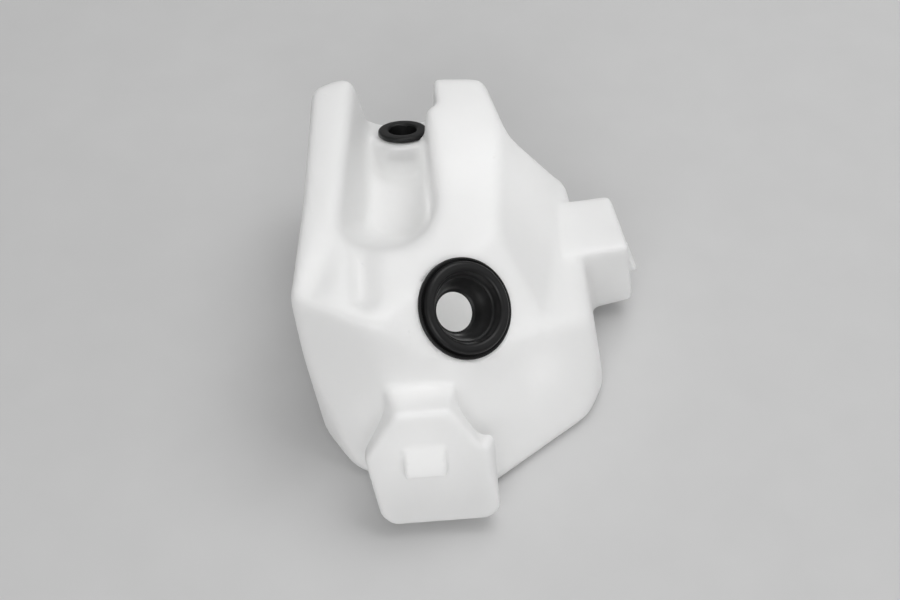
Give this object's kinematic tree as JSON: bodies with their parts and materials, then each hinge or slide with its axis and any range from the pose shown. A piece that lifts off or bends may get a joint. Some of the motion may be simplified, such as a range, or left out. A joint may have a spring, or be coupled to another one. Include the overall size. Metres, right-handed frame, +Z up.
{
  "type": "washer fluid reservoir",
  "caption": "Blow-moulded washer fluid tank with a rubber filler grommet, a rubber pump grommet in a pocket between its arms, and snap mounting tongues.",
  "frame": {"origin": "on the floor under the middle of the belly of the tank, which is the middle of the face it rests on, less its arms", "axes": "+Z up, +Y from the front tongue towards the arms, +X towards the right tongue"},
  "size_m": [0.1778, 0.2205, 0.0961],
  "materials": {
    "tank_plastic": "satin, natural translucent",
    "filler_rubber": "moulded, satin",
    "pump_rubber": "moulded, satin"
  },
  "bodies": {
    "root": {"reservoir_tank": "tank_plastic", "filler_grommet": "filler_rubber", "pump_grommet": "pump_rubber"}
  },
  "joints": []
}
